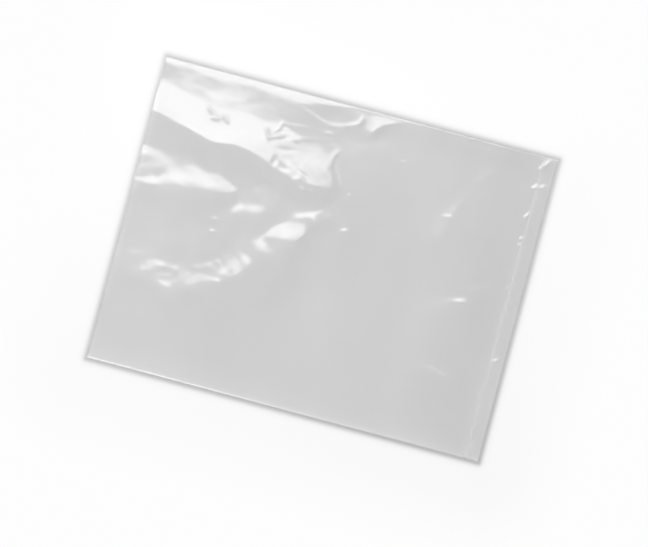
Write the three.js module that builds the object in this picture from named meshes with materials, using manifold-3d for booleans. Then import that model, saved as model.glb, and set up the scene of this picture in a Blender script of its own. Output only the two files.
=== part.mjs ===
// Flat poly bag, empty and lying on its back: one length of blown polyethylene tube, laid flat,
// heat-sealed across one end and cut open at the other. The tube has no seam, so its two plies are
// one film that rolls over at the side folds.
// Millimetres, +Z up. X runs from the mouth to the sealed end and Y from fold to fold. The origin is
// under the middle of the bag, on the surface that it lies on.
import * as THREE from "three";
import { LoftGeometry } from "three/addons/geometries/LoftGeometry.js";
import { mergeVertices } from "three/addons/utils/BufferGeometryUtils.js";
import Module from "manifold-3d";

// Driving dimensions
const BAG_WIDTH = 203.2; // lay-flat width of the tube, 8 in
const POCKET_LENGTH = 254; // mouth to seal, 10 in
const SEAL_WIDTH = 1.6; // fused band
const SKIRT_LENGTH = 7.9; // loose plies between the seal and the cut
const FILM = 0.0508; // gauge of the film, 2 mil
const SEAL_BEAD = 0.06; // what the fused band adds to two thicknesses of film
const FOLD_HEIGHT = 1; // over the outside of a side fold
const NIP_LENGTH = 30; // over which the plies close up before the seal
const SKIRT_GAPE = 0.5; // over the outside of the skirt at its cut end
const PLUMP = 0.6; // how much higher than the folds the air left in the mouth's half holds the upper ply
const AIR_FADE_FROM = 110; // distance from the mouth at which that starts to die away
const AIR_LENGTH = 175; // and at which the film lies level with its folds
const ROLL_WIDTH = 6; // from a fold to where the upper ply levels out

// Creases in the upper ply. Ends are [distance from the mouth, distance from the +Y fold].
// Each stands up by rise and falls away over front, towards the +Y fold, and over back.
const CREASES = [
  { from: [-40, 30], to: [142, 60], rise: 1.3, front: 24, back: 17 }, // long one, out of the mouth
  { from: [-10, 36], to: [126, 57], rise: 1.2, front: 38, back: 17 }, // gentler slope from it to the fold
  { from: [137, 15], to: [168, 2], rise: 0.8, front: 10, back: 6 }, // corner turned up beside the fold
  { from: [-16, 128], to: [64, 150], rise: 1.2, front: 17, back: 38 }, // rim of a dish that a hand left
  { from: [46, 153], to: [138, 68], rise: 1.3, front: 15, back: 36 }, // the same rim, turning to the fold
  { from: [-30, 86], to: [66, 74], rise: 0.9, front: 24, back: 19 }, // shoulder of the dish
  { from: [12, 82], to: [68, 74], rise: 0.6, front: 12, back: 14 },
  { from: [60, 89], to: [92, 81], rise: 0.6, front: 10, back: 13 },
  { from: [102, 82], to: [130, 71], rise: 0.3, front: 6, back: 9 },
  { from: [84, 102], to: [124, 88], rise: 0.4, front: 12, back: 15 },
  { from: [194, 122], to: [246, 98], rise: 0.5, front: 7, back: 20 }, // runs up to the seal
  { from: [200, 149], to: [247, 163], rise: 0.5, front: 7, back: 12 },
];
const CREASE_FADE = 24; // how far from its ends a crease starts to die away, but no more than
const FADE_SHARE = 0.4; // this share of its length

// Mesh steps
const POCKET_STEPS = 39;
const NIP_STEPS = 6;
const SKIRT_STEPS = 3;
const UPPER_STEPS = 30; // across the creased upper ply
const LOWER_STEPS = 2; // across the flat lower ply
const FOLD_STEPS = 4; // round each half-round fold
const OVERCUT = 1; // how far a hollow runs out of its open end, so that the cut goes right through
const WELD = 0.0005; // corners closer than this are one

// Places along the bag
const BAG_LENGTH = POCKET_LENGTH + SEAL_WIDTH + SKIRT_LENGTH;
const MOUTH = -BAG_LENGTH / 2;
const SEAL_START = MOUTH + POCKET_LENGTH;
const SEAL_END = SEAL_START + SEAL_WIDTH;
const CUT_END = BAG_LENGTH / 2;
const NIP_START = SEAL_START - NIP_LENGTH;
const SEAL_HEIGHT = 2 * FILM + SEAL_BEAD;

const { smoothstep, lerp } = THREE.MathUtils;

// Outside height of a side fold along the bag: rolled open in the pocket, shut at the seal,
// and gaping a little at the end of the skirt.
function foldHeight(x) {
  if (x < SEAL_START) return lerp(FOLD_HEIGHT, SEAL_HEIGHT, smoothstep(x, NIP_START, SEAL_START));
  return lerp(SEAL_HEIGHT, SKIRT_GAPE, smoothstep(x, SEAL_END, CUT_END));
}

// Height of one crease at a point: a sharp top with a foot that runs out level on both sides.
function creaseHeight({ from, to, rise, front, back }, point) {
  const start = new THREE.Vector2(MOUTH + from[0], BAG_WIDTH / 2 - from[1]);
  const run = new THREE.Vector2(MOUTH + to[0], BAG_WIDTH / 2 - to[1]).sub(start);
  const offset = point.clone().sub(start);
  const length = run.length();
  const along = offset.dot(run) / length;
  const across = run.cross(offset) / length;
  const fade = Math.min(CREASE_FADE, FADE_SHARE * length);
  const ends = smoothstep(along, 0, fade) * (1 - smoothstep(along, length - fade, length));
  const slope = Math.min(Math.abs(across) / (across > 0 ? front : back), 1);
  return rise * ends * (1 - slope) ** 2 * (1 + slope);
}

// How far the upper ply stands above the folds: the plump of the trapped air, and the creases.
function relief(x, y) {
  const fromFold = BAG_WIDTH / 2 - Math.abs(y);
  const held = smoothstep(fromFold, 0, ROLL_WIDTH) * (1 - smoothstep(x, NIP_START, SEAL_START));
  const air = PLUMP * (1 - smoothstep(x, MOUTH + AIR_FADE_FROM, MOUTH + AIR_LENGTH));
  const point = new THREE.Vector2(x, y);
  return held * CREASES.reduce((sum, crease) => sum + creaseHeight(crease, point), air);
}

// The closed outline of the tube across the bag at x, drawn in by inset: the lower ply, the fold at +Y,
// the upper ply and the fold at -Y. Past the ends of the bag it keeps the shape that it has there.
function tubeSection(x, inset) {
  const shapeX = THREE.MathUtils.clamp(x, MOUTH, CUT_END);
  const foldRadius = foldHeight(shapeX) / 2;
  const flatHalf = BAG_WIDTH / 2 - foldRadius;
  const radius = foldRadius - inset;
  const points = [];
  for (let i = 0; i < LOWER_STEPS; i++) {
    points.push(new THREE.Vector3(x, lerp(-flatHalf, flatHalf, i / LOWER_STEPS), inset));
  }
  for (let i = 0; i < FOLD_STEPS; i++) {
    const turn = (Math.PI * i) / FOLD_STEPS;
    const y = flatHalf + radius * Math.sin(turn);
    points.push(new THREE.Vector3(x, y, foldRadius - radius * Math.cos(turn)));
  }
  for (let i = 0; i < UPPER_STEPS; i++) {
    const y = lerp(flatHalf, -flatHalf, i / UPPER_STEPS);
    points.push(new THREE.Vector3(x, y, 2 * foldRadius + relief(shapeX, y) - inset));
  }
  for (let i = 0; i < FOLD_STEPS; i++) {
    const turn = (Math.PI * i) / FOLD_STEPS;
    const y = -flatHalf - radius * Math.sin(turn);
    points.push(new THREE.Vector3(x, y, foldRadius + radius * Math.cos(turn)));
  }
  return points;
}

// Stations from start to end, both included.
function stations(start, end, steps) {
  return Array.from({ length: steps + 1 }, (_, i) => lerp(start, end, i / steps));
}

const wasm = await Module();
wasm.setup();

// A closed solid lofted through the tube's outline at each station.
function loftedSolid(xs, inset) {
  const sections = xs.map((x) => tubeSection(x, inset));
  const loft = new LoftGeometry(sections, { capStart: true, capEnd: true });
  const corners = new THREE.BufferGeometry();
  corners.setAttribute("position", loft.getAttribute("position"));
  corners.setIndex(loft.index);
  const merged = mergeVertices(corners, WELD);
  return new wasm.Manifold(
    new wasm.Mesh({
      numProp: 3,
      vertProperties: merged.getAttribute("position").array,
      triVerts: new Uint32Array(merged.index.array),
    }),
  );
}

function geometryOf(solid) {
  const { vertProperties, triVerts } = solid.getMesh();
  const geometry = new THREE.BufferGeometry();
  geometry.setAttribute("position", new THREE.BufferAttribute(vertProperties, 3));
  geometry.setIndex(new THREE.BufferAttribute(triVerts, 1));
  geometry.computeVertexNormals();
  return geometry;
}

// The film is the tube's outside less the pocket and the hollow of the skirt. Between them, at the
// seal, the two plies are fused into one band.
const pocketStations = [
  ...stations(MOUTH, NIP_START, POCKET_STEPS),
  ...stations(NIP_START, SEAL_START, NIP_STEPS).slice(1),
];
const skirtStations = stations(SEAL_END, CUT_END, SKIRT_STEPS);
const outside = loftedSolid([...pocketStations, ...skirtStations], 0);
const pocket = loftedSolid([MOUTH - OVERCUT, ...pocketStations], FILM);
const skirtHollow = loftedSolid([...skirtStations, CUT_END + OVERCUT], FILM);
const bagSolid = outside.subtract(pocket).subtract(skirtHollow);

const clearFilm = new THREE.MeshStandardMaterial({
  color: 0xd0d0d0,
  roughness: 0.15,
  metalness: 0,
  transparent: true,
  opacity: 0.45,
});
const bag = new THREE.Mesh(geometryOf(bagSolid), clearFilm);
bag.name = "poly_bag";

const polyBag = new THREE.Group();
polyBag.add(bag);

export default polyBag;
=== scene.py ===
import math

import bpy
import numpy as np
from mathutils import Matrix, Vector


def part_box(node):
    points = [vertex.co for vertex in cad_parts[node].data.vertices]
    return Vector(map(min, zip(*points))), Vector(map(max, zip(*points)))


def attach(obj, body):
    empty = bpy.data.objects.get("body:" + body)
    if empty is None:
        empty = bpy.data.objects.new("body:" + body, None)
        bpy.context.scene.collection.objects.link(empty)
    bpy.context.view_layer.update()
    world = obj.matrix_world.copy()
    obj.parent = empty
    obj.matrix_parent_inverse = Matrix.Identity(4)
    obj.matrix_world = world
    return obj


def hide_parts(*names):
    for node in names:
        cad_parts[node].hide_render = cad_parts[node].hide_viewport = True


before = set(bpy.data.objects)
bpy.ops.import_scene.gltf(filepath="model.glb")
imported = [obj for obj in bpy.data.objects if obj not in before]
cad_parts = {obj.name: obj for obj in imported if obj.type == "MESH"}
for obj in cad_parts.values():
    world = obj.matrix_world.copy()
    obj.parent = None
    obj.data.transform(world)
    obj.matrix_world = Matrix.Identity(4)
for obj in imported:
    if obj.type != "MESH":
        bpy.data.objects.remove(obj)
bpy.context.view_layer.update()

# Lay-flat tube
# The bag is one length of blown polyethylene tube, laid flat and cut at both ends, so its two plies are
# one film that rolls over at the side folds. The lower ply lies on the floor, and the upper one stands
# off it on the little air that is left inside. Lengths here are in millimetres until the mesh is filled.
MM = 0.001
low_corner, high_corner = (np.array(corner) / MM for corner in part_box("poly_bag"))
mouth, cut_end = low_corner[0], high_corner[0]
half_width = high_corner[1]
film_gauge = 0.0508
seal_width = 1.6
skirt_length = 7.9
seal_bead = 0.06
seal_end = cut_end - skirt_length
seal_start = seal_end - seal_width
seal_height = 2 * film_gauge + seal_bead
fold_height = 1.0
nip_length = 30.0
nip_start = seal_start - nip_length
skirt_gape = 0.22


def smooth(value, start, end):
    """Rises from 0 at start to 1 at end, level at both: 3t^2 - 2t^3 for the share of the way t."""
    t = np.clip((value - start) / (end - start), 0, 1)
    return t * t * (3 - 2 * t)


def fold_height_at(x):
    """Outside height of a side fold: open in the pocket, shut at the seal, gaping at the skirt's end."""
    in_pocket = fold_height + (seal_height - fold_height) * smooth(x, nip_start, seal_start)
    in_skirt = seal_height + (skirt_gape - seal_height) * smooth(x, seal_end, cut_end)
    return np.where(x < seal_start, in_pocket, in_skirt)


def station_values(x, stations, soften=0.0):
    """Each column of the stations after the first, read off at x along straight lines between them, and
    averaged over seven places up to soften to either side, so that the lines meet without corners."""
    at, *columns = np.array(stations, float).T
    shifts = soften * np.linspace(-1, 1, 7)
    return [np.mean([np.interp(x + shift, at, column) for shift in shifts], axis=0) for column in columns]


def waves(x, y, shortest, longest, count, seed):
    """A seeded sum of plane waves of many lengths and headings, with a slope of about 1 all together."""
    draw = np.random.default_rng(seed)
    height = np.zeros_like(x)
    for length in np.geomspace(shortest, longest, count):
        heading, phase = draw.uniform(0, 2 * math.pi, 2)
        turn = 2 * math.pi * (x * math.cos(heading) + y * math.sin(heading)) / length + phase
        height += length / (2 * math.pi) * np.sin(turn)
    return height / math.sqrt(count / 2)


# Level of the upper ply
# Air under the mouth's half holds the film above its folds. Towards the seal and the -Y fold the film
# sinks a little below them, so that the fold itself stands proud there.
air_rise, sealed_sink = 0.6, 0.1
air_fade_x = (-20, 45)
low_side_y, top_side_y = (-90, 55), (30, 98)
# Stations (x, reach, rise) along the +Y fold: over reach the film comes up from the fold by rise
top_fold = [
    (-131, 4.5, 0.42), (-110, 5.4, 0.5), (-88, 8, 0.75), (-78, 6.4, 0.6), (-70, 5, 0.47), (-58, 7.4, 0.68),
    (-43, 8.4, 0.78), (-36, 7.4, 0.68), (-30, 4.8, 0.45), (-20, 3.4, 0.34), (-12, 2.4, 0.28),
    (-5, 2.4, 0), (34, 2.4, 0), (45, 4, -0.1), (131, 4, -0.1),
]
# Stations (x, sink) along the -Y fold: within low_fold_reach the film dips below the fold by sink
low_fold_sink = [(-131, 0.19), (-60, 0.17), (0, 0.13), (70, 0.09), (131, 0.07)]
low_fold_reach = 1.05


def film_level(x, y):
    """Height over the folds: from the sunk -Y side to the raised middle, and on to the +Y fold. The film
    leaves the -Y fold by a smooth step, and the +Y one by 1 - (1 - t)^2, which is steepest at the fold."""
    reach, rise = station_values(x, top_fold)
    sunk, = station_values(x, low_fold_sink)
    raised = air_rise - (air_rise + sealed_sink) * smooth(x, *air_fade_x)
    middle = (raised + sunk) * smooth(y, *low_side_y) - sunk
    level = middle + (rise - middle) * smooth(y, *top_side_y)
    from_fold = half_width - fold_height / 2 - np.abs(y)
    rolled = 1 - np.clip(1 - from_fold / reach, 0, 1) ** 2
    return level * np.where(y > 0, rolled, smooth(from_fold, 0, low_fold_reach))


# Creases
# The film keeps the creases of being folded and handled. Each follows its stations (x, y, rise, front,
# back): it stands up by rise on the line of x and y, and falls away over front, towards the +Y fold, and
# over back. Where round_top is 0 it has a sharp top and straight sides, and where it is 1 it is a swell.
creases = [
    # Long crease out of the mouth, and the gentler slope that carries it on to the fold
    dict(round_top=0.0, stations=[
        (-150, 70, 1.6, 23, 24), (-131, 64.5, 1.6, 23, 22), (-110, 60, 1.4, 22, 20), (-95, 57, 1.35, 23, 19),
        (-89, 54.5, 1.35, 25, 18), (-74, 56.3, 1.35, 23, 19), (-67, 55.5, 1.4, 24, 18),
        (-60, 54.5, 1.4, 24, 18), (-50, 51, 1.5, 29, 18), (-40, 47, 1.55, 31, 15), (-28, 43.5, 1.5, 29, 13),
        (-11, 44.5, 1.4, 26, 12), (-6, 45.5, 0.5, 26, 12), (-1, 46, 0, 24, 12)]),
    dict(round_top=0.0, stations=[
        (-150, 70, 0.3, 24, 24), (-131, 64.5, 0.3, 24, 22), (-121, 62, 1.2, 32, 20),
        (-110, 60, 1.95, 38, 20), (-95, 57, 2.25, 40, 19), (-89, 54.5, 2.25, 42, 18),
        (-74, 56.3, 2.0, 38, 19), (-60, 54.5, 1.6, 36, 18), (-50, 51, 1.25, 33, 18), (-40, 47, 0.9, 30, 15),
        (-28, 43.5, 0.5, 27, 14), (-9, 44.5, 0, 24, 13)]),
    # Pucker and turned-up corner beside the +Y fold
    dict(round_top=0.0, stations=[
        (-42, 93.5, 0, 2, 4), (-34, 90, 0.12, 2.2, 6), (-25, 86.5, 0.15, 2.2, 8), (-17, 85, 0.16, 2.4, 8),
        (-9, 86, 0.16, 2.4, 8), (-3, 89, 0.18, 3.5, 6), (1, 92, 0, 3, 4)]),
    dict(round_top=0.0, stations=[
        (1, 87.5, 0, 13, 6), (10, 88.2, 1.15, 13, 6), (12, 90, 1.0, 11, 6), (16, 94, 0.62, 7, 6),
        (25, 98, 0.28, 3.2, 5), (34, 101, 0, 1, 3)]),
    # Short creases on the rim and the shoulder of the dish, which are the next list
    dict(round_top=0.35, stations=[
        (-134, 17, 0.3, 5, 12), (-126, 17.5, 0.46, 5.5, 12), (-115, 18.5, 0.5, 6.5, 14),
        (-109, 19.5, 0.85, 15, 18), (-100, 20.5, 1.2, 17, 18), (-90, 21.5, 1.25, 17, 18),
        (-80, 23.5, 1.0, 14, 18), (-64, 28, 0, 3, 10)]),
    dict(round_top=0.5, stations=[
        (-136, 35, 0.4, 9, 30), (-127, 35.5, 0.42, 9, 30), (-120, 35, 0.3, 8, 26), (-110, 34, 0, 6, 16)]),
    dict(round_top=0.6, stations=[
        (-69, 13, 0, 4, 10), (-63, 13.5, 0.8, 11, 16), (-57, 14, 0.9, 12, 16), (-50, 16.5, 0.55, 8, 12),
        (-42, 20, 0, 3, 8)]),
    dict(round_top=0.5, stations=[
        (-29, 20, 0, 4, 7), (-23, 21, 0.5, 7, 12), (-15, 23, 0.5, 7, 12), (-9, 25, 0.36, 6, 10),
        (-4, 27, 0, 3, 6)]),
    dict(round_top=0.5, stations=[
        (-46, 2, 0, 8, 12), (-40, 3, 0.4, 11, 16), (-32, 3.5, 0.66, 14, 18), (-24, 4.5, 0.66, 15, 18),
        (-17, 8, 0.45, 12, 16), (-11, 15, 0, 6, 10)]),
    dict(round_top=0.5, stations=[
        (-50, -4, 0, 4, 8), (-45, -3, 0.08, 5, 10), (-36, -2, 0.06, 5, 10), (-28, 0, 0, 3, 6)]),
    dict(round_top=0.8, stations=[
        (-62, -22, 0, 6, 10), (-56, -20.5, 0.32, 9, 12), (-48, -17.5, 0.36, 9, 12), (-41, -14, 0, 6, 8)]),
    dict(round_top=0.8, stations=[
        (-69, -28, 0, 7, 8), (-65, -28.5, 0.3, 9, 12), (-60, -28, 0.3, 9, 12), (-56, -27, 0, 7, 8)]),
    dict(round_top=0.8, stations=[
        (-92, -38, 0, 6, 8), (-86, -40, 0.26, 9, 12), (-79, -42, 0.4, 10, 12), (-72, -39, 0.26, 9, 12),
        (-66, -35, 0, 5, 8)]),
    dict(round_top=0.8, stations=[
        (-90, -29, 0, 4, 8), (-82, -29, 0.3, 7, 16), (-74, -26.5, 0.3, 7, 16), (-66, -22, 0, 4, 8)]),
    dict(round_top=0.8, stations=[
        (-117, -38, 0, 5, 6), (-110, -38, 0.28, 8, 12), (-102, -35, 0.28, 8, 12), (-96, -31, 0, 5, 8)]),
    dict(round_top=0.5, stations=[
        (-103, -42, 0, 2, 4), (-99.5, -42, 0.12, 3.5, 5), (-96, -42, 0, 2, 4)]),
    # Creases that run up to the seal
    dict(round_top=0.6, stations=[
        (64, -20, 0, 8, 16), (82, -10, 0.3, 6.5, 26), (91, -6, 0.34, 5.5, 26), (95, -4.5, 0.36, 5, 26),
        (99, -3.5, 0.3, 5, 24), (108, 0, 0.24, 5, 18), (114, 3, 0, 4, 10)]),
    dict(round_top=0.6, stations=[
        (70, -48, 0, 6, 9), (88, -53, 0.56, 7, 12), (104, -57, 0.56, 7, 12), (115, -61, 0, 4, 8)]),
    # Slack across the sealed half
    dict(round_top=1.0, stations=[
        (40, 30, 0, 18, 30), (62, 34, 0.3, 20, 34), (75, 40, 0.34, 20, 34), (92, 44, 0, 18, 30)]),
    dict(round_top=1.0, stations=[
        (0, -52, 0, 16, 24), (22, -46, 0.4, 18, 30), (38, -40, 0.3, 18, 30), (60, -34, 0, 16, 24)]),
]

# Rim of the dish that a hand left in the film, and its shoulder: swells that carry the short creases
dish_rim = [
    dict(round_top=0.1, stations=[
        (-136, -31, 0.35, 17, 40), (-126, -36, 0.6, 18, 42), (-115, -41, 1.05, 19, 44),
        (-98, -44, 1.38, 19, 46), (-80, -44, 1.56, 20, 50), (-64, -35, 1.62, 20, 54),
        (-50, -23, 1.62, 20, 56), (-38, -9, 1.5, 20, 56), (-28, 0, 1.6, 20, 52), (-18, 8, 1.2, 18, 46),
        (-8, 19, 0.55, 14, 40), (4, 31, 0, 10, 30)]),
    dict(round_top=1.0, stations=[
        (-150, 17, 1.15, 27, 20), (-131, 18, 1.15, 27, 20), (-116, 20, 1.0, 24, 20), (-95, 24, 0.6, 18, 18),
        (-66, 28, 0, 12, 16)]),
]
crease_soften = 1.8
crease_foot = 0.12


def crease_height(x, y, stations, round_top):
    """Rise times the profile of the share t of the reach: nearly 1 - t with a soft foot where it is sharp,
    1 less a smooth step where it is round, and a mix of the two between."""
    line, rise, front, back = station_values(x, stations, crease_soften)
    inside = (x > stations[0][0]) & (x < stations[-1][0])
    across = y - line
    t = np.clip(np.abs(across) / np.where(across > 0, front, back), 0, 1)
    sharp = (1 + crease_foot) * (1 - t) ** 2 / (1 - t + crease_foot)
    swell = 1 - smooth(t, 0, 1)
    return np.where(inside, rise * (sharp + (swell - sharp) * round_top), 0)


# Crumples
# Small sharp kinks, where the film was pinched. Each is (start, end, rise, half width): a ridge along a
# straight run, or a groove where the rise is negative.
crumples = [
    # Strokes, star, pits and spur in the long crease
    ((-99, 77), (-92, 72), 0.5, 2.2),
    ((-94, 70.5), (-88.5, 71.5), 0.5, 2.1),
    ((-87, 74.5), (-82, 69.5), 0.5, 2.1),
    ((-58.5, 75), (-52.5, 65), 0.5, 2.1),
    ((-49.5, 80), (-51.5, 71), 0.42, 2.0),
    ((-54, 66.5), (-44.5, 71.5), 0.46, 2.0),
    ((-47.5, 54), (-44.5, 53), -0.36, 6),
    ((-43, 51), (-38, 50), -0.3, 5),
    ((-35, 46.5), (-31, 46), -0.2, 4),
    ((-29, 50), (-22.5, 44.5), 0.4, 2.0),
    ((-28.5, 53), (-22, 50.5), 0.3, 1.9),
    ((-32.5, 45.5), (-26.5, 46.5), 0.32, 1.9),
    ((-48, 61), (-33, 64.5), -0.1, 1.9),
    ((-38, 70.5), (-34, 69.5), 0.28, 1.9),
    ((-20, 60), (-11, 52), 0.06, 2.2),
    ((-11.5, 57), (-6, 71.5), 0.3, 3.2),
    ((-28, 40.5), (-22.5, 39.5), 0.64, 2.2),
    ((-21, 40), (-16.5, 39.5), 0.54, 2.2),
    ((-118, 78), (-110, 70), 0.08, 2.4),
    # Fine lines between it and the fold
    ((-52, 79), (-30, 79.5), 0.15, 1.9),
    ((-22, 78.5), (-12, 80), 0.16, 1.9),
    ((-36, 71), (-20, 75), 0.07, 1.7),
    ((-78, 95), (-74, 89), -0.06, 2.4),
    ((-5, 87), (0, 96.5), 0.4, 3.4),
    ((-70, 84), (-66, 74), 0.03, 2.2),
    # In and round the dish
    ((-107, 41), (-100, 30), 0.10, 2.0),
    ((-116, 16.5), (-110, 14), 0.26, 2.2),
    ((-64, 36.5), (-40, 35.5), 0.05, 1.8),
    ((-76, -2), (-70, -1.5), 0.42, 3),
    ((-81, 6), (-71, 7.5), 0.36, 3.4),
    ((-126, 1), (-119, 2.5), 0.36, 3),
    # On the sealed half
    ((3, 43), (7, 44), 0.24, 1.8),
    ((5, 19), (11, 21.5), 0.36, 2.2),
    ((30, 73), (34, 75), 0.22, 2.2),
    ((68, 45.5), (73, 48), 0.3, 2.4),
    ((66, 27), (78, 60), 0.34, 6),
    ((83, 71), (92, 85), 0.17, 6),
    ((98, 1), (111, 10), 0.36, 6),
    ((82, -53), (90, -50.5), 0.2, 3.6),
    ((90, -55.5), (98, -53), 0.2, 3.6),
    ((101, -59), (109, -55.5), 0.3, 3.6),
    ((91.5, -5.2), (97, -2.8), 0.36, 2.0),
    ((103, 2), (109, 0), 0.18, 1.9),
    ((105, 7), (110, 5.5), 0.16, 1.8),
]
# Puckers that the heat left along the seal
seal_puckers = [
    ((121, 91.5), (127.5, 99.5), 0.5, 2.0),
    ((119.6, 78.6), (124.2, 82), 0.5, 1.9),
    ((124.2, 79.6), (128.4, 82.8), 0.42, 1.9),
    ((119.8, 58.6), (123, 63.4), 0.5, 1.8),
    ((120.2, 44.4), (123, 47), 0.36, 1.6),
    ((120, 40.2), (122.8, 43), 0.38, 1.6),
    ((119.8, 10.6), (122.4, 13), 0.34, 1.6),
    ((122.6, -38), (128, -34), 0.56, 2.1),
    ((120, -62.4), (124.4, -58.6), 0.7, 2.8),
    ((121.6, -96), (130, -92), 0.7, 3.0),
]
# Shares of the run between which a crumple fades in, and out again at its other end
crumple_fade_in, crumple_fade_out = (-0.15, 0.3), (0.7, 1.15)


def crumple_height(x, y, start, end, rise, half):
    """A ridge of profile 1 - t - t^2 + t^3 across the straight run, fading in and out along it."""
    run_x, run_y = end[0] - start[0], end[1] - start[1]
    length = math.hypot(run_x, run_y)
    along = ((x - start[0]) * run_x + (y - start[1]) * run_y) / length ** 2
    across = np.abs((x - start[0]) * run_y - (y - start[1]) * run_x) / length
    t = np.clip(across / half, 0, 1)
    ends = smooth(along, *crumple_fade_in) * (1 - smooth(along, *crumple_fade_out))
    return rise * ends * (1 - t) ** 2 * (1 + t)


# Smaller kinks still are strewn over what was handled. A zone is (count, first x, last x, its line, how far
# above the line it starts and ends, steepest slope). Places, headings, lengths and slopes are random.
kink_zones = [
    (60, -130, -8, creases[0]["stations"], 3, 38, 0.035),
    (80, -128, -6, dish_rim[0]["stations"], -2, 22, 0.055),
    (50, -130, -40, dish_rim[1]["stations"], -6, 18, 0.05),
    (40, -130, -50, [(-131, -20), (0, -20)], 0, 34, 0.03),
    (30, 0, 112, [(0, -80), (131, -80)], 0, 170, 0.03),
]
# Half a kink's width grows with half its run. At its steepest a kink slopes by kink_steepness times its
# rise over half its width.
kink_half_run = (2, 8)
kink_least_half, kink_half_share = 1.4, 0.3
kink_least_share, kink_steepness = 0.3, 1.5
kink_draw = np.random.default_rng(41)
for count, first_x, last_x, line, from_line, to_line, steepest in kink_zones:
    for _ in range(count):
        kink_x = kink_draw.uniform(first_x, last_x)
        kink_y = station_values(kink_x, line)[0] + kink_draw.uniform(from_line, to_line)
        heading = kink_draw.uniform(0, math.pi)
        half_run = kink_draw.uniform(*kink_half_run)
        half_thick = kink_least_half + kink_half_share * half_run
        up_or_down = kink_draw.choice([-1, 1])
        rise = up_or_down * kink_draw.uniform(kink_least_share, 1) * steepest * half_thick / kink_steepness
        run_x, run_y = half_run * math.cos(heading), half_run * math.sin(heading)
        kink_start, kink_end = (kink_x - run_x, kink_y - run_y), (kink_x + run_x, kink_y + run_y)
        crumples.append((kink_start, kink_end, rise, half_thick))


# Slack
# Film off a roll is never quite flat. Long waves and soft valleys lie all over it, and flat facets where it
# was handled: in the mouth's half, from the dish's lower side up, and most of all in the dish.
handled_end_x, handled_low_y = (-5, 40), (-62, -25)
dish_top_y, fold_strip_y = (36, 52), (74, 84)
long_wave_slope, valley_slope = 0.003, 0.004
unhandled_valleys = 0.25
facet_corners = 128
# Steepness, pitch, heading and seed of each sheet of facets, and how much of both shows where
facet_sheets = [(0.026, 13, 0.52, 338), (0.016, 7, 0.95, 924)]
facets_all_over, facets_handled, facets_dished, facets_by_fold = 0.12, 0.2, 0.68, 0.35


def facets(x, y, pitch, heading, seed):
    """A sheet of flat triangles with equal sides of a pitch, in rows turned to the heading. Their corners
    stand up by random shares of the pitch from -1 to 1, and each is the plane through its three corners."""
    corners = np.random.default_rng(seed).uniform(-pitch, pitch, (facet_corners, facet_corners))
    row_height = pitch * math.sqrt(0.75)
    along = (x * math.cos(heading) + y * math.sin(heading)) / pitch + facet_corners / 2
    rows = (y * math.cos(heading) - x * math.sin(heading)) / row_height + facet_corners / 2
    along = along - rows / 2 + facet_corners / 4
    i, j = np.floor(along).astype(int), np.floor(rows).astype(int)
    u, v = along - i, rows - j
    near = corners[i, j] * (1 - u - v) + corners[i + 1, j] * u + corners[i, j + 1] * v
    far = corners[i + 1, j + 1] * (u + v - 1) + corners[i, j + 1] * (1 - u) + corners[i + 1, j] * (1 - v)
    return np.where(u + v < 1, near, far)


def slack(x, y):
    """Faint unevenness: long waves, less the valleys, plus the facets, each times its share at the place."""
    handled = (1 - smooth(x, *handled_end_x)) * smooth(y, *handled_low_y)
    dished = handled * (1 - smooth(y, *dish_top_y))
    by_fold = handled * smooth(y, *fold_strip_y)
    long_waves = long_wave_slope * waves(x, y, shortest=20, longest=90, count=16, seed=7)
    valley_share = unhandled_valleys + (1 - unhandled_valleys) * handled
    valleys = valley_share * valley_slope * np.abs(waves(x, y, shortest=12, longest=40, count=9, seed=3))
    facet_share = (facets_all_over + facets_handled * handled + facets_dished * dished
                   + facets_by_fold * by_fold)
    crumpled = sum(steepness * facets(x, y, *sheet) for steepness, *sheet in facet_sheets)
    return long_waves - valleys + facet_share * crumpled


# Whole upper ply
# Level, creases, crumples and slack add up. The lines of the creases wander a little, as creases in film do,
# and the dish's swells are uneven. All of it dies away over roll_width into the folds, and into the seal.
wander_x_slope, wander_y_slope = 0.25, 0.1
swell_unevenness = 0.03
roll_width = 6.0
skirt_ripple, ripple_stretch = 0.009, 0.3


def relief(x, y):
    """How far the upper ply stands above its folds: level, creases, crumples and slack in the pocket, less
    and less of them towards the seal, and ripples that grow towards the end of the skirt."""
    wander_x = x + wander_x_slope * waves(x, y, shortest=15, longest=50, count=10, seed=11)
    wander_y = y + wander_y_slope * waves(x, y, shortest=7, longest=30, count=10, seed=13)
    uneven = 1 + swell_unevenness * waves(x, y, shortest=12, longest=40, count=8, seed=23)
    creased = slack(x, y)
    for crease in creases:
        creased = creased + crease_height(wander_x, wander_y, **crease)
    for swell in dish_rim:
        creased = creased + crease_height(wander_x, wander_y, **swell) * uneven
    for crumple in crumples:
        creased = creased + crumple_height(wander_x, wander_y, *crumple)
    from_fold = np.maximum(half_width - fold_height / 2 - np.abs(y), 0)
    off_fold = smooth(from_fold, 0, roll_width)
    pocket = film_level(x, y) + creased * off_fold
    ripples = skirt_ripple * waves(ripple_stretch * x, y, shortest=8, longest=32, count=8, seed=17)
    skirt = ripples * smooth(x, seal_end, cut_end) * off_fold
    puckered = sum(crumple_height(x, y, *pucker) for pucker in seal_puckers)
    return np.where(x < seal_end, pocket * (1 - smooth(x, nip_start, seal_start)), skirt) + puckered


# Film
# The film's outside and inside are two skins of the same tube, a gauge apart, joined at the rims of the
# mouth and of the cut end. Inside, the pocket and the skirt's hollow both end at the seal, where the two
# plies are fused into one band. The mesh is finest where the film is creased.
creased_end, creased_low, low_edge = 12.0, -45.0, -98.5
creased_pitch_x, plain_pitch_x = 0.82, 2.0
creased_pitch_y, plain_pitch_y, edge_pitch_y = 1.0, 2.5, 0.35
lower_steps, fold_steps = 10, 6
seal_lead, seal_lead_rings, skirt_ring_count = 3.0, 6, 9
rim_angle = math.radians(40)


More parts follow.
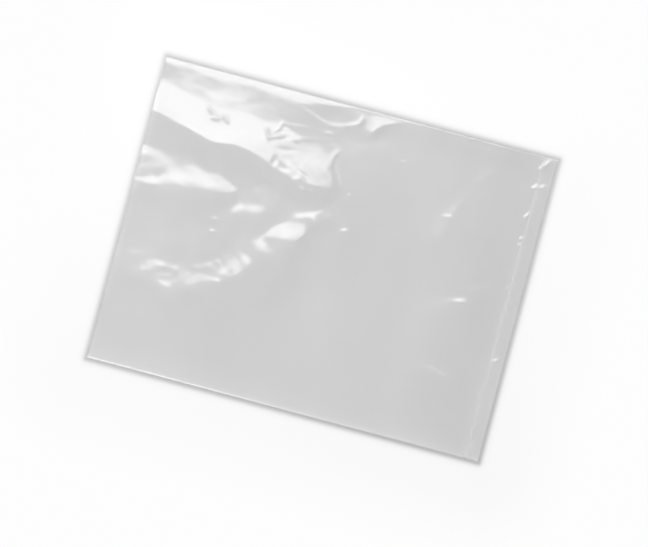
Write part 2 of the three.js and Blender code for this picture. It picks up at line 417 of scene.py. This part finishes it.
def spaced(start, end, pitch):
    """Even steps from start up to end, which is left out, each of about the pitch."""
    return np.linspace(start, end, math.ceil(abs(end - start) / pitch), endpoint=False)


flat_end = half_width - fold_height / 2
upper_y = np.concatenate([
    spaced(flat_end, creased_low, creased_pitch_y),
    spaced(creased_low, low_edge, plain_pitch_y),
    spaced(low_edge, -flat_end, edge_pitch_y),
])
across_share = np.concatenate([
    np.linspace(0, 1, lower_steps, endpoint=False),
    np.linspace(1, 2, fold_steps, endpoint=False),
    2 + (1 - upper_y / flat_end) / 2,
    np.linspace(3, 4, fold_steps, endpoint=False),
])


def tube_skin(x_stations, inset):
    """Rings round the tube, drawn in by inset. A ring's share goes 0 to 1 along the lower ply, to 2 round
    the +Y fold, to 3 back along the upper ply and to 4 round the -Y fold; folds are half rounds."""
    x, share = np.meshgrid(x_stations, across_share, indexing="ij")
    fold_radius = fold_height_at(x) / 2
    flat_half = half_width - fold_radius
    radius = fold_radius - inset
    side = np.floor(share)
    part = share - side
    turn = math.pi * part
    along = flat_half * (2 * part - 1)
    y = np.select(
        [side == 0, side == 1, side == 2],
        [along, flat_half + radius * np.sin(turn), -along],
        -flat_half - radius * np.sin(turn),
    )
    z = np.select(
        [side == 0, side == 1, side == 2],
        [inset, fold_radius - radius * np.cos(turn), 2 * fold_radius - inset],
        fold_radius + radius * np.cos(turn),
    )
    z = z + np.where(side == 2, relief(x, y), 0)
    return np.stack([x, y, z], axis=-1)


def ring_quads(rings, first, outward):
    """Corner numbers of the quads between neighbouring rings of a skin, whose corners start at first."""
    count = len(across_share)
    ring, corner = np.meshgrid(np.arange(rings - 1), np.arange(count), indexing="ij")
    here = first + ring * count + corner
    beside = first + ring * count + (corner + 1) % count
    quads = np.stack([here, beside, beside + count, here + count], axis=-1).reshape(-1, 4)
    return quads if outward else quads[:, ::-1]


def rim_quads(outer_first, inner_first, flip):
    """Corner numbers of the quads that join a ring of the outside to a ring of the inside."""
    count = len(across_share)
    corner = np.arange(count)
    following = (corner + 1) % count
    outer_edge = [outer_first + corner, outer_first + following]
    inner_edge = [inner_first + corner, inner_first + following]
    quads = np.stack([outer_edge[0], inner_edge[0], inner_edge[1], outer_edge[1]], axis=-1)
    return quads[:, ::-1] if flip else quads


pocket_x = np.concatenate([
    spaced(mouth, creased_end, creased_pitch_x),
    spaced(creased_end, nip_start, plain_pitch_x),
    spaced(nip_start, seal_start - seal_lead, plain_pitch_x),
    np.linspace(seal_start - seal_lead, seal_start, seal_lead_rings),
])
skirt_x = np.linspace(seal_end, cut_end, skirt_ring_count)
outer = tube_skin(np.concatenate([pocket_x, skirt_x]), 0)
pocket = tube_skin(pocket_x, film_gauge)
skirt_hollow = tube_skin(skirt_x, film_gauge)
ring_size = len(across_share)
outer_rings, pocket_rings, skirt_rings = len(outer), len(pocket), len(skirt_hollow)
pocket_first = outer_rings * ring_size
skirt_first = pocket_first + pocket_rings * ring_size
corners = np.concatenate([skin.reshape(-1, 3) for skin in (outer, pocket, skirt_hollow)]) * MM
quads = np.concatenate([
    ring_quads(outer_rings, 0, True),
    ring_quads(pocket_rings, pocket_first, False),
    ring_quads(skirt_rings, skirt_first, False),
    rim_quads(0, pocket_first, True),
    rim_quads((outer_rings - 1) * ring_size, skirt_first + (skirt_rings - 1) * ring_size, False),
])
pocket_end = pocket_first + (pocket_rings - 1) * ring_size + np.arange(ring_size)
skirt_start = skirt_first + np.arange(ring_size)[::-1]
film_mesh = bpy.data.meshes.new("poly_bag_film")
film_mesh.from_pydata(corners.tolist(), [], quads.tolist() + [pocket_end.tolist(), skirt_start.tolist()])
film_mesh.shade_smooth()
film_mesh.set_sharp_from_angle(angle=rim_angle)
film = bpy.data.objects.new("poly_bag_film", film_mesh)
bpy.context.scene.collection.objects.link(film)


def linear(hex_colour):
    """An sRGB hex colour as linear red, green, blue and a full alpha, by the sRGB curve."""
    srgb = np.array([int(hex_colour[i:i + 2], 16) / 255 for i in (1, 3, 5)])
    return (*np.where(srgb <= 0.04045, srgb / 12.92, ((srgb + 0.055) / 1.055) ** 2.4), 1.0)


def add_node(tree, kind, inputs=None, **settings):
    """Adds a shader node with its settings, and sets or links each of the named inputs."""
    made = tree.nodes.new(kind)
    for name, value in settings.items():
        setattr(made, name, value)
    for name, value in (inputs or {}).items():
        if isinstance(value, bpy.types.NodeSocket):
            tree.links.new(value, made.inputs[name])
        else:
            made.inputs[name].default_value = value
    return made


# Blown low-density polyethylene, clear: the film lets nearly all light through and mirrors a little of it
# at each of its faces, more at a slant, so it shows as pale grey with sharp white glare on its creases.
film_ior = 1.51
slant_power = 5.0
# Share of the light that a face lets through at the -Y fold and at the +Y one. It varies by band_depth in
# broad bands that the blowing left, which run nearly along the film's width.
passed_low, passed_high, band_depth = 0.981, 0.973, 0.022
band_width, band_run, band_turn = 45.0, 130.0, math.radians(7)
haze_share = 0.02
haze_colour = "#f2f2f2"
# The surface is faintly mottled, so its gloss is part sharp and part soft
mottle_size, mottle_depth = 9.0, 0.02
sharp_roughness, soft_roughness, soft_share = (0.05, 0.08), 0.28, 0.42
film_material = bpy.data.materials.new("clear_blown_polyethylene")
film_material.use_nodes = True
film_tree = film_material.node_tree
film_tree.nodes.clear()
film_place = add_node(film_tree, "ShaderNodeTexCoord").outputs["Object"]
mottle = add_node(film_tree, "ShaderNodeTexNoise",
                  {"Vector": film_place, "Scale": 1 / (mottle_size * MM), "Detail": 3.0})
bump = add_node(film_tree, "ShaderNodeBump",
                {"Height": mottle.outputs["Fac"], "Distance": mottle_depth * MM, "Strength": 1.0})
facing = add_node(film_tree, "ShaderNodeLayerWeight", {"Blend": 0.5, "Normal": bump.outputs["Normal"]})
slant = add_node(film_tree, "ShaderNodeMath", {0: facing.outputs["Facing"], 1: slant_power},
                 operation="POWER")
head_on = ((film_ior - 1) / (film_ior + 1)) ** 2
mirrored = add_node(film_tree, "ShaderNodeMath", {0: slant.outputs[0], 1: 1 - head_on, 2: head_on},
                    operation="MULTIPLY_ADD")
band_place = add_node(film_tree, "ShaderNodeMapping",
                      {"Vector": film_place, "Rotation": (0, 0, band_turn),
                       "Scale": (band_width * MM, band_run * MM, band_width * MM)}, vector_type="TEXTURE")
bands = add_node(film_tree, "ShaderNodeTexNoise", {"Vector": band_place.outputs[0], "Scale": 1.0})
across_film = add_node(film_tree, "ShaderNodeSeparateXYZ", {0: film_place}).outputs["Y"]
passed_across = add_node(film_tree, "ShaderNodeMapRange",
                         {"Value": across_film, "From Min": -half_width * MM, "From Max": half_width * MM,
                          "To Min": passed_low - band_depth / 2, "To Max": passed_high - band_depth / 2})
passed = add_node(film_tree, "ShaderNodeMath",
                  {0: bands.outputs["Fac"], 1: band_depth, 2: passed_across.outputs[0]},
                  operation="MULTIPLY_ADD")
clear = add_node(film_tree, "ShaderNodeBsdfTransparent", {"Color": passed.outputs[0]})
gloss_roughness = add_node(film_tree, "ShaderNodeMapRange",
                           {"Value": mottle.outputs["Fac"],
                            "To Min": sharp_roughness[0], "To Max": sharp_roughness[1]})
sharp_gloss = add_node(film_tree, "ShaderNodeBsdfGlossy",
                       {"Color": (1, 1, 1, 1), "Roughness": gloss_roughness.outputs[0],
                        "Normal": bump.outputs["Normal"]})
soft_gloss = add_node(film_tree, "ShaderNodeBsdfGlossy",
                      {"Color": (1, 1, 1, 1), "Roughness": soft_roughness, "Normal": bump.outputs["Normal"]})
gloss = add_node(film_tree, "ShaderNodeMixShader",
                 {0: soft_share, 1: sharp_gloss.outputs[0], 2: soft_gloss.outputs[0]})
clean_film = add_node(film_tree, "ShaderNodeMixShader",
                      {0: mirrored.outputs[0], 1: clear.outputs[0], 2: gloss.outputs[0]})
haze = add_node(film_tree, "ShaderNodeBsdfDiffuse", {"Color": linear(haze_colour)})
hazy_film = add_node(film_tree, "ShaderNodeMixShader",
                     {0: haze_share, 1: clean_film.outputs[0], 2: haze.outputs[0]})
add_node(film_tree, "ShaderNodeOutputMaterial", {"Surface": hazy_film.outputs[0]})
film_mesh.materials.append(film_material)

# The fused band has two faces where the open plies have four, so each of its faces holds back more.
fused_tint = "#f2f2f2"
fused_material = film_material.copy()
fused_material.name = "fused_polyethylene"
fused_clear = fused_material.node_tree.nodes[clear.name].inputs["Color"]
fused_material.node_tree.links.remove(fused_clear.links[0])
fused_clear.default_value = linear(fused_tint)
film_mesh.materials.append(fused_material)
material_numbers = np.zeros(len(film_mesh.polygons), dtype=np.int32)
fused_first = (pocket_rings - 1) * ring_size
material_numbers[fused_first:fused_first + ring_size] = 1
film_mesh.polygons.foreach_set("material_index", material_numbers)

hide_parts("poly_bag")
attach(film, "root")

# Floor
# A plain white sweep under the bag, a hair below the lower ply, so the two don't share a plane. A soft
# shadow is painted into its colour round the bag's edge, deepest away from the light, and far off it is
# plain white.
floor_size = 6.0
floor_drop = 0.0002
floor_white = 0.985
# Distance out from the bag's edge in millimetres, and how much of the floor's own white the painted shade
# leaves there
painted_edge_shade = [(-1, 1.0), (0.1, 0.52), (0.9, 0.54), (2, 0.73), (3.2, 0.9), (4.5, 0.975), (6.5, 1.0)]
shade_offset = (0.1, -0.1)
lit_side_share = 0.6
plain_from, plain_to = 6.0, 70.0
floor_mesh = bpy.data.meshes.new("floor")
floor_half = floor_size / 2
floor_sides = [(-floor_half, -floor_half), (floor_half, -floor_half), (floor_half, floor_half),
               (-floor_half, floor_half)]
floor_mesh.from_pydata([(x, y, -floor_drop) for x, y in floor_sides], [], [(0, 1, 2, 3)])
floor = bpy.data.objects.new("floor", floor_mesh)
bpy.context.scene.collection.objects.link(floor)
floor_material = bpy.data.materials.new("white_sweep_with_painted_shade")
floor_material.use_nodes = True
floor_tree = floor_material.node_tree
floor_tree.nodes.clear()


def out_of_bag(axis, middle, half):
    """Distance out past the bag's edge along one axis: |place - middle| - half, in millimetres."""
    away = add_node(floor_tree, "ShaderNodeMath", {0: axis, 1: middle * MM}, operation="SUBTRACT")
    size = add_node(floor_tree, "ShaderNodeMath", {0: away.outputs[0]}, operation="ABSOLUTE")
    return add_node(floor_tree, "ShaderNodeMath", {0: size.outputs[0], 1: 1 / MM, 2: -half},
                    operation="MULTIPLY_ADD").outputs[0]


floor_coordinates = add_node(floor_tree, "ShaderNodeTexCoord").outputs["Object"]
floor_place = add_node(floor_tree, "ShaderNodeSeparateXYZ", {0: floor_coordinates})
out_x = out_of_bag(floor_place.outputs["X"], shade_offset[0], cut_end)
out_y = out_of_bag(floor_place.outputs["Y"], shade_offset[1], half_width)
# Distance from the bag's edge: how deep inside it, up to 0, plus how far past it, round its corners too
further_out = add_node(floor_tree, "ShaderNodeMath", {0: out_x, 1: out_y}, operation="MAXIMUM")
inside_edge = add_node(floor_tree, "ShaderNodeMath", {0: further_out.outputs[0], 1: 0.0},
                       operation="MINIMUM")
past_x = add_node(floor_tree, "ShaderNodeMath", {0: out_x, 1: 0.0}, operation="MAXIMUM")
past_y = add_node(floor_tree, "ShaderNodeMath", {0: out_y, 1: 0.0}, operation="MAXIMUM")
past = add_node(floor_tree, "ShaderNodeCombineXYZ", {0: past_x.outputs[0], 1: past_y.outputs[0]})
past_edge = add_node(floor_tree, "ShaderNodeVectorMath", {0: past.outputs[0]}, operation="LENGTH")
edge_distance = add_node(floor_tree, "ShaderNodeMath",
                         {0: inside_edge.outputs[0], 1: past_edge.outputs["Value"]},
                         operation="ADD").outputs[0]
shade_near, shade_far = painted_edge_shade[0][0], painted_edge_shade[-1][0]
shade_share = add_node(floor_tree, "ShaderNodeMapRange",
                       {"Value": edge_distance, "From Min": shade_near, "From Max": shade_far})
shade = add_node(floor_tree, "ShaderNodeValToRGB", {0: shade_share.outputs[0]})
shade.color_ramp.interpolation = "LINEAR"
for _ in painted_edge_shade[2:]:
    shade.color_ramp.elements.new(0.5)
for stop, (distance, left) in zip(shade.color_ramp.elements, painted_edge_shade):
    stop.position = (distance - shade_near) / (shade_far - shade_near)
    stop.color = (left * floor_white, left * floor_white, left * floor_white, 1)
# Painted shade deepens from -1 at the bag's corner nearest the light to 1 at the one furthest from it
off_light = add_node(floor_tree, "ShaderNodeVectorMath",
                     {0: floor_coordinates, 1: (0.5 / (cut_end * MM), -0.5 / (half_width * MM), 0)},
                     operation="DOT_PRODUCT")
shade_depth = add_node(floor_tree, "ShaderNodeMapRange",
                       {"Value": off_light.outputs["Value"], "From Min": -1.0, "From Max": 1.0,
                        "To Min": lit_side_share, "To Max": 1.0})
# The painted shadow darkens the floor's white, less on the side towards the light
painted_shade_white = add_node(floor_tree, "ShaderNodeMixRGB",
                        {"Fac": shade_depth.outputs[0], "Color1": (floor_white, floor_white, floor_white, 1),
                         "Color2": shade.outputs["Color"]})
lit_floor = add_node(floor_tree, "ShaderNodeBsdfDiffuse", {"Color": painted_shade_white.outputs["Color"]})
plain_floor = add_node(floor_tree, "ShaderNodeEmission", {"Color": (1, 1, 1, 1), "Strength": floor_white})
far_off = add_node(floor_tree, "ShaderNodeMapRange",
                   {"Value": edge_distance, "From Min": plain_from, "From Max": plain_to},
                   interpolation_type="SMOOTHSTEP")
floor_path = add_node(floor_tree, "ShaderNodeLightPath")
seen_far_off = add_node(floor_tree, "ShaderNodeMath",
                        {0: far_off.outputs[0], 1: floor_path.outputs["Is Camera Ray"]},
                        operation="MULTIPLY")
floor_finish = add_node(floor_tree, "ShaderNodeMixShader",
                        {0: seen_far_off.outputs[0], 1: lit_floor.outputs[0], 2: plain_floor.outputs[0]})
add_node(floor_tree, "ShaderNodeOutputMaterial", {"Surface": floor_finish.outputs[0]})
floor_mesh.materials.append(floor_material)

# Light
# One softbox lies level overhead, off towards the mouth and the +Y fold, so that level film just misses
# its reflection and film that tilts towards it catches it. A wider, weaker one hangs further towards the
# mouth, and another beyond the +Y fold. The world fills in evenly.
# Place of the middle, length and width in metres, the share of both that the even core takes, from which
# the softbox fades out to its rim, and how many times as bright as white the core is
softboxes = [
    ((-0.25, 0.81, 2.0), 1.6, 1.16, 0.43, 5.0),
    ((-0.8, 0.4, 2.05), 3.0, 3.0, 0.2, 0.8),
    ((1.7, 2.7, 1.8), 4.2, 1.7, 0.2, 1.4),
]
for softbox_place, length, width, core, brightness in softboxes:
    softbox = bpy.data.lights.new("softbox", "AREA")
    softbox.shape = "RECTANGLE"
    softbox.size = length
    softbox.size_y = width
    softbox.energy = brightness * math.pi * length * width
    softbox.use_nodes = True
    softbox_tree = softbox.node_tree
    softbox_tree.nodes.clear()
    across = add_node(softbox_tree, "ShaderNodeNewGeometry").outputs["Parametric"]
    off_middle = add_node(softbox_tree, "ShaderNodeVectorMath", {0: across, 1: (0.5, 0.5, 0)},
                          operation="SUBTRACT")
    either_way = add_node(softbox_tree, "ShaderNodeVectorMath", {0: off_middle.outputs[0]},
                          operation="ABSOLUTE")
    off_sides = add_node(softbox_tree, "ShaderNodeSeparateXYZ", {0: either_way.outputs[0]})
    to_rim = add_node(softbox_tree, "ShaderNodeMath", {0: off_sides.outputs["X"], 1: off_sides.outputs["Y"]},
                      operation="MAXIMUM")
    fade = add_node(softbox_tree, "ShaderNodeMapRange",
                    {"Value": to_rim.outputs[0], "From Min": core / 2, "From Max": 0.5,
                     "To Min": 1.0, "To Max": 0.0})
    glow = add_node(softbox_tree, "ShaderNodeEmission", {"Strength": fade.outputs[0]})
    add_node(softbox_tree, "ShaderNodeOutputLight", {"Surface": glow.outputs[0]})
    softbox_lamp = bpy.data.objects.new("softbox", softbox)
    softbox_lamp.location = softbox_place
    bpy.context.scene.collection.objects.link(softbox_lamp)

# Seen outright, in gloss or through the film, the world is plain white, and as light it is weaker.
fill_level = 0.565
world = bpy.data.worlds.new("white_room")
bpy.context.scene.world = world
world.use_nodes = True
world_tree = world.node_tree
world_tree.nodes.clear()
path = add_node(world_tree, "ShaderNodeLightPath")
camera_or_gloss = add_node(world_tree, "ShaderNodeMath",
                           {0: path.outputs["Is Camera Ray"], 1: path.outputs["Is Glossy Ray"]},
                           operation="MAXIMUM")
shown = add_node(world_tree, "ShaderNodeMath",
                 {0: camera_or_gloss.outputs[0], 1: path.outputs["Is Transmission Ray"]},
                 operation="MAXIMUM")
white_level = add_node(world_tree, "ShaderNodeMapRange",
                       {"Value": shown.outputs[0], "To Min": fill_level, "To Max": 1.0})
background = add_node(world_tree, "ShaderNodeBackground",
                      {"Color": (1, 1, 1, 1), "Strength": white_level.outputs[0]})
add_node(world_tree, "ShaderNodeOutputWorld", {"Surface": background.outputs[0]})

# Camera
# It looks straight down. In the 648 by 547 picture the bag's middle is at (322.5, 259) and its length
# runs down to the right by 14.9 degrees.
picture_width, picture_height = 648, 547
bag_length_px = 405.0
bag_middle_px = (322.5, 259.0)
bag_turn = math.radians(14.9)
camera_height = 1.6
sensor_width = 36.0
metres_per_px = (cut_end - mouth) * MM / bag_length_px
camera_data = bpy.data.cameras.new("camera")
camera_data.sensor_width = sensor_width
camera_data.lens = sensor_width * camera_height / (picture_width * metres_per_px)
camera_data.clip_end = 20.0
camera = bpy.data.objects.new("camera", camera_data)
off_right = (picture_width / 2 - bag_middle_px[0]) * metres_per_px
off_up = (bag_middle_px[1] - picture_height / 2) * metres_per_px
turned = Matrix.Rotation(bag_turn, 4, "Z")
camera.matrix_world = Matrix.Translation(turned @ Vector((off_right, off_up, camera_height))) @ turned
bpy.context.scene.collection.objects.link(camera)
bpy.context.scene.camera = camera
bpy.context.scene.view_settings.view_transform = "Standard"
